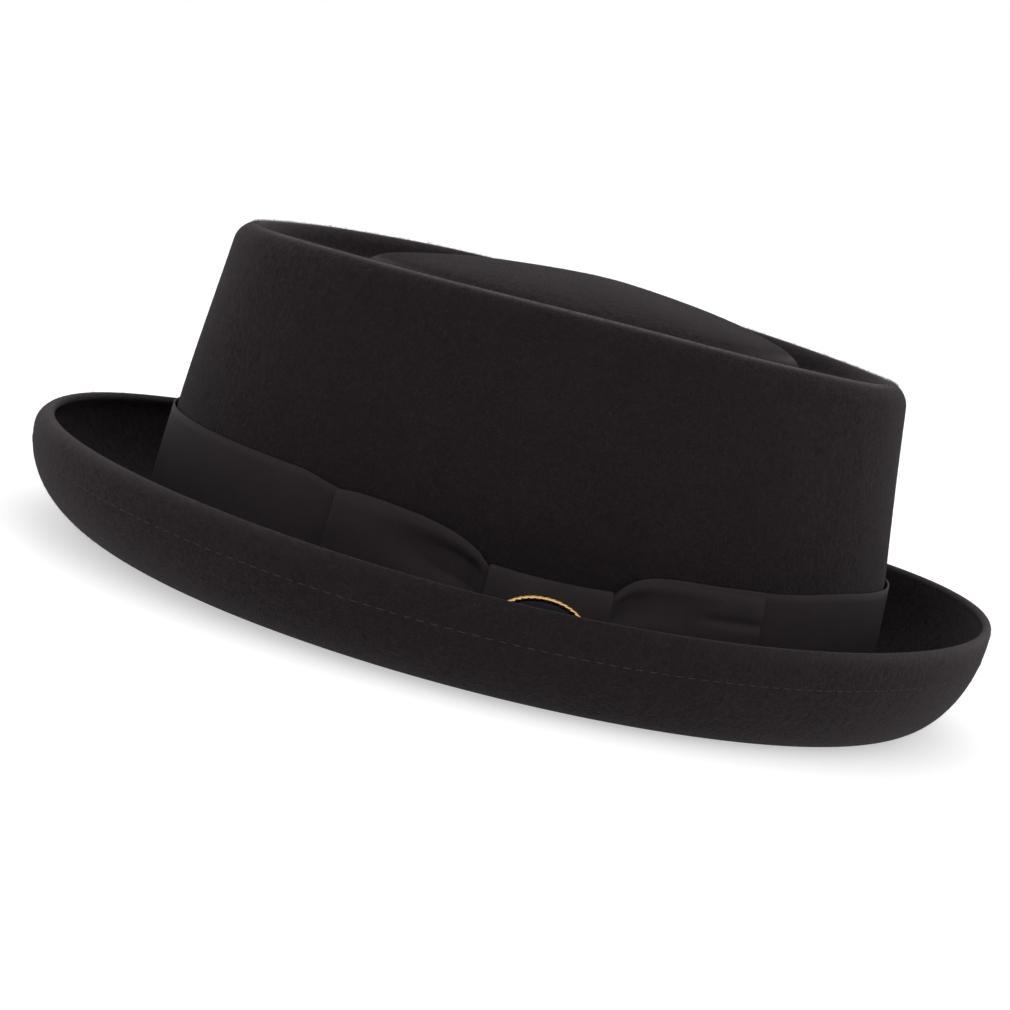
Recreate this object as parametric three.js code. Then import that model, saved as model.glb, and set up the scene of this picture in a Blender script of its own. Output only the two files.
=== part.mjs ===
import * as THREE from "three";
import { mergeVertices } from "three/addons/utils/BufferGeometryUtils.js";

// Porkpie hat of wool felt with a rolled brim, a ribbon band, a flat bow and an oval badge.
// Millimetres, Z up. The front of the hat faces -Y and the bow sits on the wearer's left, +X.
// The origin is on the surface that the brim rests on, under the middle of the whole hat.

// Head opening and felt
const headLength = 204.2;
const headWidth = 167;
const feltWall = 2.4;

// Crown: the height and plan of its upper ridge, and how far that ridge leans forward
const crownHeight = 91.4;
const ridgeLength = 182.2;
const ridgeWidth = 142.8;
const ridgeForward = 1.35;
const ridgeRound = 5.6;
const ridgeRoll = 3.2;
const ridgeSideRise = 2.4;
const ridgeForeRise = 0.6;
const kneeInset = 1.9;
const kneeAbove = 1;
const kneeBend = 4;

// Tip of the crown: a groove inside the ridge and a diamond-shaped island standing in it
const grooveDepth = 13.8;
const grooveSlope = 9;
const grooveBend = 4;
const islandHeight = 100;
const islandFront = 59;
const islandBack = 57;
const islandSide = 41;
const islandBackward = 5.3;
const islandPoint = 1.7;
const islandDrop = 8.8;
const islandFlank = 9;
const islandBend = 4;
const domeFullness = 0.55;

// Brim: how far it stands out, how high its outermost line is, and how its lip curls in
const brimReach = { front: 35.5, side: 39.5, back: 29.5 };
const brimRise = { front: 25, side: 24.4, back: 31.3 };
const brimSweep = { front: 29.6, side: 17.6, back: 20.8 };
const lipCurlAngle = { front: 70, side: 22, back: 18 };
const lipRadius = 5;
const breakHeight = 3.2;
const breakBend = 3.6;
const restWidth = 4;

// Ribbon band round the foot of the crown
const ribbonWidth = 31;
const ribbonThickness = 1;
const bandLift = 2.8;
const bandForeRise = 1;
const clearance = 0.3;
const bandTuck = 0.8;
const bandEaseAngle = { front: 3, back: 18 };

// Bow: where it sits round the crown, from the front at 0 to the back at 180 degrees
const bowCentre = 90;
const bowHalfAngle = 33;
const knotWidth = 31;
const knotHeight = 22;
const knotSquareness = 0.6;
const knotBulge = 1;
const loopThickness = 2.6;
const loopMouth = 0.08;
const loopFlare = 0.5;
const neckThickness = 1.2;
const neckTuck = 1.5;

// Badge on the knot
const badgeLength = 26;
const badgeHeight = 16.5;
const badgeDrop = 1.2;
const badgePlate = 1;
const badgeRim = 1.5;
const enamelThickness = 0.6;

// Facets
const turnSteps = 60;
const knotTurn = 16;
const knotColumns = 8;
const badgeSteps = 48;
const rimSides = 6;

// Sections of a loop, from the knot's side at 0 to the loop's outer end at 1, and how far
// its upper edge has risen there from the neck, at 0, to the band's upper edge, at 1.
const loopSections = [
  { along: 0.0, front: 0.0, back: 0.0 },
  { along: 0.03, front: 0.24, back: 0.2 },
  { along: 0.1, front: 0.42, back: 0.5 },
  { along: 0.2, front: 0.6, back: 0.68 },
  { along: 0.32, front: 0.73, back: 0.75 },
  { along: 0.45, front: 0.81, back: 0.78 },
  { along: 0.6, front: 0.86, back: 0.79 },
  { along: 0.75, front: 0.89, back: 0.81 },
  { along: 0.9, front: 0.87, back: 0.83 },
  { along: 1.0, front: 0.78, back: 0.83 },
];

// Folds across a loop: how proud the cloth stands, as shares of the loop's thickness.
// across runs from the lower edge at 0 to the upper edge at 1.
const loopFolds = [
  { across: 0.0, neck: 0.3, end: 0.6 },
  { across: 0.14, neck: 0.95, end: 0.85 },
  { across: 0.32, neck: 0.45, end: 0.95 },
  { across: 0.5, neck: 1.0, end: 0.9 },
  { across: 0.68, neck: 0.3, end: 1.0 },
  { across: 0.82, neck: 0.35, end: 0.9 },
  { across: 0.93, neck: 1.0, end: 0.8 },
  { across: 1.0, neck: 0.5, end: 0.45 },
];

// Sizes worked out from the ones above
const halfWall = feltWall / 2;
const headCentreY = (brimReach.front - brimReach.back) / 2;
const baseAlong = headLength / 2 + halfWall;
const baseAcross = headWidth / 2 + halfWall;
const ridgeAlong = ridgeLength / 2;
const ridgeAcross = ridgeWidth / 2;
const ridgeBendRadius = ridgeRound - halfWall;
const grooveLevel = crownHeight - grooveDepth - halfWall;
const bandFoot = breakHeight + bandLift;
const bandTop = bandFoot + ribbonWidth;
const knotMiddle = bandFoot + clearance + knotHeight / 2;
const neckHalfHeight = knotHeight / 2 - ribbonThickness - neckTuck;

const up = new THREE.Vector3(0, 0, 1);
const roundHandle = 0.5523; // the share of the way to its corner that makes a cubic curve an arc
const samePoint = 0.001; // two points closer than this are one
const radians = THREE.MathUtils.degToRad;
const mix = THREE.MathUtils.lerp;

// Blends a front, a side and a back value round the hat; turn is 0 at the front.
function around(values, turn) {
  const c = Math.cos(turn);
  const ends = (values.front * (c * c + c) + values.back * (c * c - c)) / 2;
  return values.side * (1 - c * c) + ends;
}

// Looks a value up in a table whose rows rise along one column.
function lookUp(table, column, place, value) {
  const last = table.length - 1;
  const next = table.findIndex((row) => row[column] >= place);
  if (next === 0 || place <= table[0][column]) return table[0][value];
  if (next === -1) return table[last][value];
  const before = table[next - 1];
  const after = table[next];
  const share = (place - before[column]) / (after[column] - before[column]);
  return mix(before[value], after[value], share);
}

// A point on an oval about the head's centre line.
function ovalPoint(along, across, shift, height, turn) {
  const y = headCentreY + shift - along * Math.cos(turn);
  return new THREE.Vector3(across * Math.sin(turn), y, height);
}

// A point on the island's plan, an oval that is pinched to a point at the front and the back.
function islandPlan(grow, height, turn) {
  const pinch = Math.abs(Math.sin(turn)) ** (islandPoint - 1);
  const along = (Math.cos(turn) > 0 ? islandFront : islandBack) + grow;
  return ovalPoint(along, (islandSide + grow) * pinch, islandBackward, height, turn);
}

// A point of the brim, stepped straight out from the foot of the crown.
function brimPoint(out, height, turn) {
  const point = ovalPoint(baseAlong, baseAcross, 0, height, turn);
  const outward = new THREE.Vector3(baseAlong * Math.sin(turn), -baseAcross * Math.cos(turn), 0);
  return point.addScaledVector(outward.normalize(), out);
}

// The crown's wall in the middle of the felt: it rises from its foot to a knee just above
// the band, and from there it leans in more, to its head under the ridge.
function wallFoot(turn) {
  return ovalPoint(baseAlong, baseAcross, 0, breakHeight + bandForeRise * Math.cos(turn), turn);
}

function wallKnee(turn) {
  const height = bandTop + kneeAbove + bandForeRise * Math.cos(turn);
  return ovalPoint(baseAlong - kneeInset, baseAcross - kneeInset, 0, height, turn);
}

function ridgeTop(turn) {
  const rise = ridgeSideRise * Math.sin(turn) ** 2;
  return crownHeight - halfWall + rise + ridgeForeRise * Math.cos(turn);
}

function wallHead(turn) {
  const along = ridgeAlong + ridgeBendRadius;
  const across = ridgeAcross + ridgeBendRadius;
  return ovalPoint(along, across, -ridgeForward, ridgeTop(turn) - ridgeBendRadius, turn);
}

// A point on the line from one point to another, a given distance along it.
function toward(from, to, distance) {
  return from.clone().lerp(to, distance / from.distanceTo(to));
}

// The bends that the felt goes through, from the middle of the crown out to the lip.
// Each is a round curve inside a corner, and straight felt joins one to the next.
function feltBends(turn) {
  const pole = ovalPoint(0, 0, islandBackward, islandHeight - halfWall, turn);
  const shoulder = islandPlan(0, islandHeight - islandDrop - halfWall, turn);
  const domeTop = pole.clone().lerp(shoulder, domeFullness).setZ(pole.z);
  const shoulderStart = toward(shoulder, domeTop, islandBend);
  const islandFoot = islandPlan(islandFlank, grooveLevel, turn);
  const grooveInset = ridgeRoll + grooveSlope;
  const grooveAlong = ridgeAlong - grooveInset;
  const grooveAcross = ridgeAcross - grooveInset;
  const ridgeFoot = ovalPoint(grooveAlong, grooveAcross, -ridgeForward, grooveLevel, turn);
  const top = ridgeTop(turn);
  const ridge = ovalPoint(ridgeAlong, ridgeAcross, -ridgeForward, top, turn);
  const rollAlong = ridgeAlong - ridgeRoll;
  const rollAcross = ridgeAcross - ridgeRoll;
  const rollCorner = ovalPoint(rollAlong, rollAcross, -ridgeForward, top, turn);
  const foot = wallFoot(turn);
  const knee = wallKnee(turn);
  const head = wallHead(turn);
  const ridgeCorner = knee.clone().lerp(head, (top - knee.z) / (head.z - knee.z));
  const reach = around(brimReach, turn);
  const sweep = around(brimSweep, turn) - halfWall;
  const rise = around(brimRise, turn);
  const curl = radians(around(lipCurlAngle, turn));
  const curlRadius = lipRadius - halfWall;
  const restStart = brimPoint(reach - sweep - restWidth, halfWall, turn);
  const restEnd = brimPoint(reach - sweep, halfWall, turn);
  const heel = brimPoint(reach, halfWall, turn);
  const widest = brimPoint(reach, rise, turn);
  const lipCorner = brimPoint(reach, rise + curlRadius * Math.tan(curl / 2), turn);
  const lipIn = curlRadius * (1 - Math.cos(curl));
  const lip = brimPoint(reach - lipIn, rise + curlRadius * Math.sin(curl), turn);
  return [
    { from: pole, over: domeTop, to: shoulderStart, steps: 3 },
    { from: shoulderStart, over: shoulder, to: toward(shoulder, islandFoot, islandBend), steps: 2 },
    {
      from: toward(islandFoot, shoulder, grooveBend),
      over: islandFoot,
      to: toward(islandFoot, ridgeFoot, grooveBend),
      steps: 3,
    },
    {
      from: toward(ridgeFoot, islandFoot, grooveBend),
      over: ridgeFoot,
      to: toward(ridgeFoot, rollCorner, grooveBend),
      steps: 3,
    },
    { from: toward(rollCorner, ridgeFoot, ridgeRoll), over: rollCorner, to: ridge, steps: 2 },
    { from: ridge, over: ridgeCorner, to: head, steps: 3 },
    { from: toward(knee, head, kneeBend), over: knee, to: toward(knee, foot, kneeAbove), steps: 2 },
    {
      from: toward(foot, knee, breakBend),
      over: foot,
      to: toward(foot, restStart, breakBend),
      steps: 3,
    },
    { from: restStart, over: restEnd, to: restEnd, steps: 1, flat: true },
    { from: restEnd, over: heel, to: widest, steps: 5 },
    { from: widest, over: lipCorner, to: lip, steps: 3 },
  ];
}

// Points down the middle of the felt at one turn, each with the direction of the felt there.
function feltPath(turn) {
  const path = [];
  for (const bend of feltBends(turn)) {
    const leave = bend.from.clone().lerp(bend.over, roundHandle);
    const arrive = bend.to.clone().lerp(bend.over, roundHandle);
    const round = new THREE.CubicBezierCurve3(bend.from, leave, arrive, bend.to);
    const curve = bend.flat ? new THREE.LineCurve3(bend.from, bend.to) : round;
    for (let step = 0; step <= bend.steps; step += 1) {
      const share = step / bend.steps;
      const point = curve.getPoint(share);
      const previous = path[path.length - 1];
      const repeated = previous !== undefined && previous.point.distanceTo(point) < samePoint;
      const flat = bend.flat || (repeated && previous.flat);
      if (repeated) path.pop();
      path.push({ point, along: curve.getTangent(share), flat });
    }
  }
  return path;
}

// Joins rows of points into one closed body. Rows run one way over the surface and
// columns the other; either may wrap round, and open ends are closed by a fan.
function bodyFromRows(rows, wrapRows, wrapColumns) {
  const columns = rows[0].length;
  const positions = rows.flatMap((row) => row.flatMap((point) => point.toArray()));
  const index = [];
  const rowSpans = wrapRows ? rows.length : rows.length - 1;
  const columnSpans = wrapColumns ? columns : columns - 1;
  for (let i = 0; i < rowSpans; i += 1) {
    const here = i * columns;
    const next = ((i + 1) % rows.length) * columns;
    for (let j = 0; j < columnSpans; j += 1) {
      const k = (j + 1) % columns;
      index.push(here + j, next + j, next + k, here + j, next + k, here + k);
    }
  }
  if (!wrapRows) {
    for (const [row, first] of [[0, true], [rows.length - 1, false]]) {
      const middle = new THREE.Vector3();
      for (const point of rows[row]) middle.addScaledVector(point, 1 / columns);
      const hub = positions.length / 3;
      positions.push(...middle.toArray());
      for (let j = 0; j < columns; j += 1) {
        const a = row * columns + j;
        const b = row * columns + ((j + 1) % columns);
        index.push(...(first ? [hub, a, b] : [hub, b, a]));
      }
    }
  }
  return closedBody(positions, index);
}

// Merges shared corners, drops faces that shrank to a line and turns every face outward.
function closedBody(positions, index) {
  const loose = new THREE.BufferGeometry();
  loose.setAttribute("position", new THREE.Float32BufferAttribute(positions, 3));
  loose.setIndex(index);
  const merged = mergeVertices(loose, samePoint);
  const place = merged.getAttribute("position");
  const faces = [];
  let volume = 0;
  const [a, b, c] = [new THREE.Vector3(), new THREE.Vector3(), new THREE.Vector3()];
  for (let i = 0; i < merged.index.count; i += 3) {
    const corners = [0, 1, 2].map((k) => merged.index.getX(i + k));
    if (new Set(corners).size < 3) continue;
    faces.push(corners);
    a.fromBufferAttribute(place, corners[0]);
    b.fromBufferAttribute(place, corners[1]);
    c.fromBufferAttribute(place, corners[2]);
    volume += a.dot(b.cross(c));
  }
  if (volume < 0) faces.forEach((corners) => corners.reverse());
  merged.setIndex(faces.flat());
  merged.computeVertexNormals();
  return merged;
}

// Felt body: crown and brim are one cap of felt of even thickness.
function feltBody() {
  const turns = Array.from({ length: turnSteps }, (_, i) => (2 * Math.PI * i) / turnSteps);
  const paths = turns.map(feltPath);
  const rows = paths.map((path, i) => {
    const before = paths[(i + turnSteps - 1) % turnSteps];
    const after = paths[(i + 1) % turnSteps];
    const outer = [];
    const inner = [];
    path.forEach(({ point, along, flat }, j) => {
      const round = after[j].point.clone().sub(before[j].point);
      const atPole = round.length() < samePoint;
      const normal = flat || atPole ? up.clone() : along.clone().cross(round).normalize();
      outer.push(point.clone().addScaledVector(normal, halfWall));
      inner.push(point.clone().addScaledVector(normal, -halfWall));
    });
    const end = path[path.length - 1];
    const lipTip = end.point.clone().addScaledVector(end.along, halfWall);
    return [...outer, lipTip, ...inner.reverse()];
  });
  return bodyFromRows(rows, true, false);
}

// A point outside the lower wall at a height, standing off the felt by some distance.
function offWall(turn, height, stand) {
  const foot = wallFoot(turn);
  const rise = wallKnee(turn).sub(foot);
  const round = new THREE.Vector3(baseAcross * Math.cos(turn), baseAlong * Math.sin(turn), 0);
  const outward = round.cross(rise).normalize();
  const point = foot.clone().addScaledVector(rise, (height - foot.z) / rise.z);
  return point.addScaledVector(outward, halfWall + stand);
}

// Half the angle that the knot covers, and the rest of the way to a loop's outer end
const knotHalfSpan = THREE.MathUtils.radToDeg(Math.asin(knotWidth / 2 / baseAlong));
const loopSpan = bowHalfAngle - knotHalfSpan;

// Angles of the knot's facets, which the neck inside it shares
const knotAngles = Array.from(
  { length: knotColumns },
  (_, column) => bowCentre + knotHalfSpan * ((2 * column) / (knotColumns - 1) - 1),
);

// Height of the bow's upper and lower edges at an angle round the crown.
function bowEdges(degrees) {
  const along = THREE.MathUtils.clamp((Math.abs(degrees - bowCentre) - knotHalfSpan) / loopSpan, 0, 1);
  const tilt = bandForeRise * Math.cos(radians(degrees));
  const rise = lookUp(loopSections, "along", along, degrees < bowCentre ? "front" : "back");
  const fall = THREE.MathUtils.smoothstep(along, 0, loopFlare);
  return {
    along,
    lower: tilt + mix(knotMiddle - neckHalfHeight, bandFoot + clearance, fall),
    upper: tilt + mix(knotMiddle + neckHalfHeight, bandTop, rise),
  };
}

// Upper edge of the band, which is gathered down behind the bow.
function bandUpperEdge(degrees) {
  const full = bandTop + bandForeRise * Math.cos(radians(degrees));
  const gathered = bowEdges(degrees).upper - bandTuck;
  const away = Math.abs(degrees - bowCentre);
  const ease = degrees < bowCentre ? bandEaseAngle.front : bandEaseAngle.back;
  return mix(gathered, full, THREE.MathUtils.smoothstep(away, bowHalfAngle, bowHalfAngle + ease));
}

// Band: a loop of ribbon that lies on the crown's wall with a small gap.
function hatBand() {
  const heights = [0, 1 / 3, 2 / 3, 1];
  const rows = Array.from({ length: turnSteps }, (_, i) => {
    const degrees = (360 * i) / turnSteps;
    const turn = radians(degrees);
    const lower = bandFoot + bandForeRise * Math.cos(turn);
    const upper = bandUpperEdge(degrees);
    const face = heights.map((share) => mix(lower, upper, share));
    const outer = face.map((height) => offWall(turn, height, clearance + ribbonThickness));
    const inner = [upper, lower].map((height) => offWall(turn, height, clearance));
    return [...outer, ...inner];
  });
  return bodyFromRows(rows, true, true);
}

// Stand-off of each layer at the bow, outward from the felt
const bandFace = clearance + ribbonThickness;
const knotBack = bandFace + clearance;
const neckBack = knotBack + ribbonThickness + clearance;
const neckFace = neckBack + neckThickness;
const knotFront = neckFace + clearance;

// Loops: one folded ribbon whose two flat loops narrow to a neck inside the knot.
function bowLoops() {
  const front = loopSections.map(({ along }) => bowCentre - knotHalfSpan - along * loopSpan);
  const back = loopSections.map(({ along }) => bowCentre + knotHalfSpan + along * loopSpan);
  const neck = knotAngles.slice(1, -1);
  const rows = [...front.reverse(), ...neck, ...back].map((degrees) => {
    const turn = radians(degrees);
    const { along, lower, upper } = bowEdges(degrees);
    const open = THREE.MathUtils.smoothstep(along, 0, loopMouth);
    const behind = mix(neckBack, bandFace + clearance, open);
    const outer = loopFolds.map((fold) => {
      const proud = loopThickness * mix(fold.neck, fold.end, along);
      const height = mix(lower, upper, fold.across);
      return offWall(turn, height, mix(neckFace, bandFace + clearance + proud, open));
    });
    const inner = [upper, (upper + lower) / 2, lower].map((height) => offWall(turn, height, behind));
    return [...outer, ...inner];
  });
  return bodyFromRows(rows, false, true);
}

// Knot: a short ribbon that runs right round the neck of the loops.
function bowKnot() {
  const rows = [];
  for (let step = 0; step < knotTurn; step += 1) {
    const angle = (2 * Math.PI * step) / knotTurn;
    const c = Math.sign(Math.cos(angle)) * Math.abs(Math.cos(angle)) ** knotSquareness;
    const s = Math.sign(Math.sin(angle)) * Math.abs(Math.sin(angle)) ** knotSquareness;
    const layer = (thickness, degrees) => {
      const front = knotFront + thickness + knotBulge * (1 - s * s);
      const back = knotBack + ribbonThickness - thickness;
      const half = knotHeight / 2 - ribbonThickness + thickness;
      const stand = (front + back) / 2 + (c * (front - back)) / 2;
      return offWall(radians(degrees), knotMiddle + s * half, stand);
    };
    const outer = knotAngles.map((degrees) => layer(ribbonThickness, degrees));
    const inner = knotAngles.map((degrees) => layer(0, degrees)).reverse();
    rows.push([...outer, ...inner]);
  }
  return bodyFromRows(rows, true, true);
}

// Badge frame: an oval plate whose raised rim holds the enamel. Made flat, facing +Z.
function badgeFrame() {
  const rows = [];
  for (let step = 0; step < badgeSteps; step += 1) {
    const angle = (2 * Math.PI * step) / badgeSteps;
    const at = (inset, height) => {
      const x = (badgeLength / 2 - inset) * Math.cos(angle);
      return new THREE.Vector3(x, (badgeHeight / 2 - inset) * Math.sin(angle), height);
    };
    const rim = [];
    const radius = badgeRim / 2;
    for (let side = 0; side <= rimSides; side += 1) {
      const round = (Math.PI * side) / rimSides;
      rim.push(at(radius - radius * Math.cos(round), badgePlate + radius * Math.sin(round)));
    }
    const centre = (height) => new THREE.Vector3(0, 0, height);
    rows.push([centre(0), at(0, 0), ...rim, centre(badgePlate)]);
  }
  return bodyFromRows(rows, true, false);
}

// Badge face: a thin oval of enamel lying in the frame.
function badgeFace() {
  const inset = badgeRim + clearance;
  const outline = new THREE.Shape();
  const halfLength = badgeLength / 2 - inset;
  const halfHeight = badgeHeight / 2 - inset;
  outline.absellipse(0, 0, halfLength, halfHeight, 0, 2 * Math.PI, false, 0);
  const options = { depth: enamelThickness, bevelEnabled: false, curveSegments: badgeSteps };
  return new THREE.ExtrudeGeometry(outline, options);
}

function mesh(name, geometry, colour, roughness, metalness) {
  const material = new THREE.MeshStandardMaterial({ color: colour, roughness, metalness });
  const piece = new THREE.Mesh(geometry, material);
  piece.name = name;
  return piece;
}

const hat = new THREE.Group();
hat.add(mesh("felt_body", feltBody(), 0x262022, 0.95, 0));
hat.add(mesh("hat_band", hatBand(), 0x231f20, 0.7, 0));
hat.add(mesh("bow_loops", bowLoops(), 0x282324, 0.7, 0));
hat.add(mesh("bow_knot", bowKnot(), 0x282324, 0.7, 0));

// The badge lies flat on the front of the knot, turned to face outward from the crown.
const bowTurn = radians(bowCentre);
const badgeMiddle = knotMiddle - badgeDrop;
const badgeStand = knotFront + ribbonThickness + knotBulge + clearance;
const badgeSeat = offWall(bowTurn, badgeMiddle, badgeStand);
const outward = offWall(bowTurn, badgeMiddle, badgeStand + 1).sub(badgeSeat).normalize();
const lengthwise = new THREE.Vector3(0, 1, 0);
const upward = outward.clone().cross(lengthwise).normalize();
const badge = new THREE.Group();
badge.add(mesh("badge_frame", badgeFrame(), 0xc9a25a, 0.35, 1));
const face = mesh("badge_face", badgeFace(), 0x141416, 0.2, 0);
face.position.z = badgePlate + clearance;
badge.add(face);
badge.quaternion.setFromRotationMatrix(new THREE.Matrix4().makeBasis(lengthwise, upward, outward));
badge.position.copy(badgeSeat);
hat.add(badge);

export default hat;
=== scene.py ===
import bpy
import numpy as np
from mathutils import Matrix, Vector


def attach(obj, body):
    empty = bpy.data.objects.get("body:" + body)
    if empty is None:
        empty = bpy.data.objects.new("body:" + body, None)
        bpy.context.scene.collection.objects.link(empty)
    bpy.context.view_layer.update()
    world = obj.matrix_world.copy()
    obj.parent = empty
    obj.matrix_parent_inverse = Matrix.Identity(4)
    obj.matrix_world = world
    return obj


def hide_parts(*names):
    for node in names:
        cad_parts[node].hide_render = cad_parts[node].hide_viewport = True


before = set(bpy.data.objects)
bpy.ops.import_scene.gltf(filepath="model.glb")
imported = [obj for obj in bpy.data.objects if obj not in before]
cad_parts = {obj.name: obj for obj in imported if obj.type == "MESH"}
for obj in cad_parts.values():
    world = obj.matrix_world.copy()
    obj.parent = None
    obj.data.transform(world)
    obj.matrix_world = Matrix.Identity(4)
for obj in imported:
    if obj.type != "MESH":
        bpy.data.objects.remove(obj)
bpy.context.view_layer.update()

# Camera. It looks at the wearer's left side from a little in front and a little above,
# and leans to one side, so that the hat seems to slope down to the right.
camera_azimuth = np.radians(84.0)
camera_elevation = np.radians(8.28)
camera_lean = np.radians(14.12)
camera_distance = 0.7736
camera_target = np.array([0.0, -0.00393, 0.0311])
camera_focal_px = 2738.4
photo_side_px = 1010

camera_back = np.array([
    np.sin(camera_azimuth) * np.cos(camera_elevation),
    -np.cos(camera_azimuth) * np.cos(camera_elevation),
    np.sin(camera_elevation),
])
level_right = np.cross(-camera_back, [0.0, 0.0, 1.0])
level_right /= np.linalg.norm(level_right)
level_up = np.cross(level_right, -camera_back)
camera_right = level_right * np.cos(camera_lean) + level_up * np.sin(camera_lean)
camera_up = level_up * np.cos(camera_lean) - level_right * np.sin(camera_lean)

camera = bpy.data.objects.new("camera", bpy.data.cameras.new("camera"))
camera.data.sensor_width = 36.0
camera.data.lens = 36.0 * camera_focal_px / photo_side_px
camera.data.clip_start = 0.05
camera.data.clip_end = 50.0
camera.location = Vector(camera_target + camera_back * camera_distance)
camera.rotation_mode = "QUATERNION"
camera_axes = np.stack([camera_right, camera_up, camera_back], axis=1)
camera.rotation_quaternion = Matrix(camera_axes.tolist()).to_quaternion()
bpy.context.scene.collection.objects.link(camera)
bpy.context.scene.camera = camera
bpy.context.scene.view_settings.view_transform = "Standard"


# Studio. A white floor that runs on to a white surround, with large soft lamps at both
# sides, behind and above, so that the felt's edges and nap catch the light.
class Value:
    """A number that varies over a surface. Arithmetic on it adds Math nodes to its finish."""

    def __init__(self, finish, socket):
        self.finish = finish
        self.socket = socket

    def maths(self, operation, first, second=0.0):
        return self.finish.node("ShaderNodeMath", {"operation": operation}, {0: first, 1: second})

    def __add__(self, other):
        return self.maths("ADD", self, other)

    def __sub__(self, other):
        return self.maths("SUBTRACT", self, other)

    def __rsub__(self, other):
        return self.maths("SUBTRACT", other, self)

    def __mul__(self, other):
        return self.maths("MULTIPLY", self, other)

    def __pow__(self, other):
        return self.maths("POWER", self, other)

    def __abs__(self):
        return self.maths("ABSOLUTE", self)

    def wave(self, pitch):
        """A wave from 0 to 1 of a pitch in metres."""
        return self.maths("SINE", self * (2 * np.pi / pitch)) * 0.5 + 0.5

    __radd__ = __add__
    __rmul__ = __mul__


class Finish:
    """A material whose Principled shader starts with the given constant settings."""

    def __init__(self, name, **constants):
        self.material = bpy.data.materials.new(name)
        self.material.use_nodes = True
        self.tree = self.material.node_tree
        self.shader = self.tree.nodes["Principled BSDF"]
        for socket, value in constants.items():
            self.feed(self.shader, socket.replace("_", " "), value)

    def feed(self, node, socket, value):
        """Links a Value to a node's socket, or sets a plain number, vector or colour there."""
        if isinstance(value, Value):
            self.tree.links.new(value.socket, node.inputs[socket])
        elif isinstance(value, tuple) and node.inputs[socket].type == "RGBA":
            node.inputs[socket].default_value = value + (1.0,)
        else:
            node.inputs[socket].default_value = value

    def node(self, kind, settings, inputs, output=0):
        """Adds a node of a kind: its settings first, then a value or a link for each input."""
        made = self.tree.nodes.new(kind)
        for name, value in settings.items():
            setattr(made, name, value)
        for socket, value in inputs.items():
            self.feed(made, socket, value)
        return Value(self, made.outputs[output])

    def mix(self, share, first, second):
        """A colour between two others, by a share from 0 to 1."""
        settings = {"data_type": "RGBA"}
        return self.node("ShaderNodeMix", settings, {"Factor": share, 6: first, 7: second}, output=2)

    def place(self):
        """The place of each point on the hat, in metres."""
        return self.node("ShaderNodeTexCoord", {}, {}, output="Object")

    def weave_place(self):
        """The place of each point on a ribbon: metres along it and across it."""
        return self.node("ShaderNodeUVMap", {"uv_map": "weave"}, {})

    def noise(self, place, per_metre, detail=2.0, roughness=0.5, distortion=0.0):
        """Random patches from 0 to 1, with so many to the metre."""
        inputs = {"Vector": place, "Scale": per_metre, "Detail": detail}
        inputs.update({"Roughness": roughness, "Distortion": distortion})
        return self.node("ShaderNodeTexNoise", {}, inputs)

    def bump(self, height, distance, strength=1.0):
        """Turns a height from 0 to 1 into relief of a depth in metres."""
        inputs = {"Height": height, "Distance": distance, "Strength": strength}
        self.feed(self.shader, "Normal", self.node("ShaderNodeBump", {}, inputs))


floor_reach = 6.0
floor = bpy.data.objects.new("floor", bpy.data.meshes.new("floor"))
floor_corners = [(-1, -1), (1, -1), (1, 1), (-1, 1)]
floor_points = [(x * floor_reach, y * floor_reach, 0.0) for x, y in floor_corners]
floor.data.from_pydata(floor_points, [], [(0, 1, 2, 3)])
floor_finish = Finish("white_floor", Base_Color=(0.62, 0.62, 0.62), Roughness=0.9)
floor_finish.feed(floor_finish.shader, "Emission Color", (1.0, 1.0, 1.0))
floor_finish.feed(floor_finish.shader, "Emission Strength", 0.5)
floor.data.materials.append(floor_finish.material)
bpy.context.scene.collection.objects.link(floor)

surround = bpy.data.worlds.new("surround")
surround.use_nodes = True
surround.node_tree.nodes["Background"].inputs["Color"].default_value = (1.0, 1.0, 1.0, 1.0)
surround.node_tree.nodes["Background"].inputs["Strength"].default_value = 1.0
bpy.context.scene.world = surround

lamps = {
    "lamp_front": {"place": (0.1, -1.1, 0.45), "side": 0.8, "power": 1.15},
    "lamp_back": {"place": (0.25, 1.1, 0.55), "side": 0.8, "power": 1.6},
    "lamp_far": {"place": (-1.2, 0.0, 0.9), "side": 1.2, "power": 3.0},
    "lamp_above": {"place": (0.1, 0.0, 1.3), "side": 1.0, "power": 1.5},
}
for name, lamp in lamps.items():
    light = bpy.data.lights.new(name, "AREA")
    light.shape = "SQUARE"
    light.size = lamp["side"]
    light.energy = lamp["power"]
    holder = bpy.data.objects.new(name, light)
    holder.location = lamp["place"]
    holder.rotation_mode = "QUATERNION"
    holder.rotation_quaternion = (-Vector(lamp["place"])).to_track_quat("-Z", "Y")
    bpy.context.scene.collection.objects.link(holder)


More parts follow.
